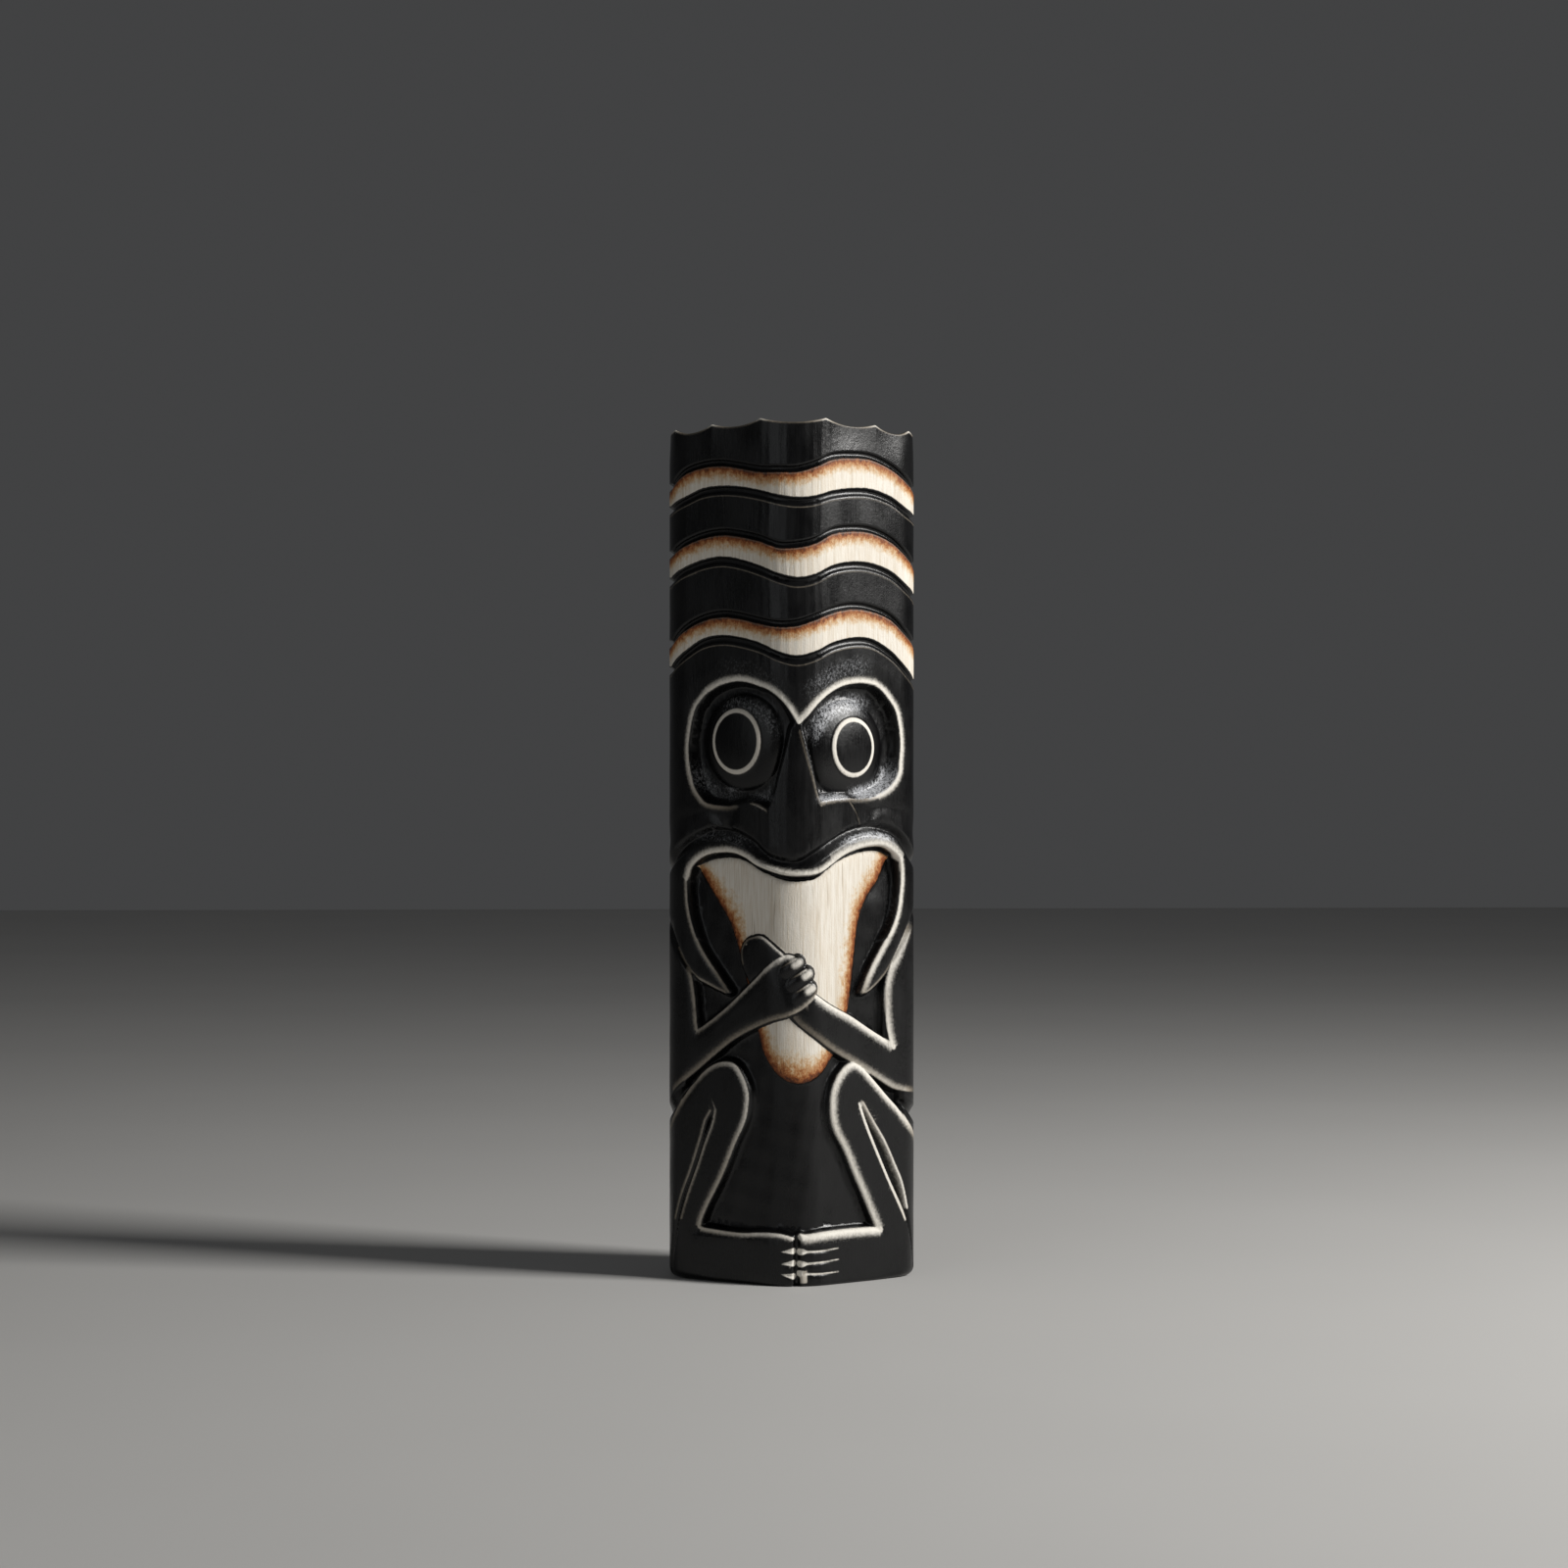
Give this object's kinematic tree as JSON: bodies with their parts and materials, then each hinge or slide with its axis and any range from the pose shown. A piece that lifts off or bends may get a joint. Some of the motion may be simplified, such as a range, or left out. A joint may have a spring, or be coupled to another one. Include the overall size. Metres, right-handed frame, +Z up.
{
  "type": "tribal statue",
  "caption": "Upright totem statue with a banded headdress, mask face, long hanging tongue, clasped hands and drawn-up legs; stands on its flat underside.",
  "frame": {"origin": "middle of the flat underside, in the middle of the part's width and depth", "axes": "+Z up, along the post; -Y the way the figure faces; +X to the figure's left, which is the right side of the picture"},
  "size_m": [0.144, 0.1066, 0.4997],
  "materials": {
    "painted_resin": "cast resin with a carved-wood surface; semi-gloss black paint, worn pale along the raised edges, with bare cream bands and tongue scorched orange-brown at their edges"
  },
  "bodies": {
    "root": {"statue": "painted_resin"}
  },
  "joints": []
}
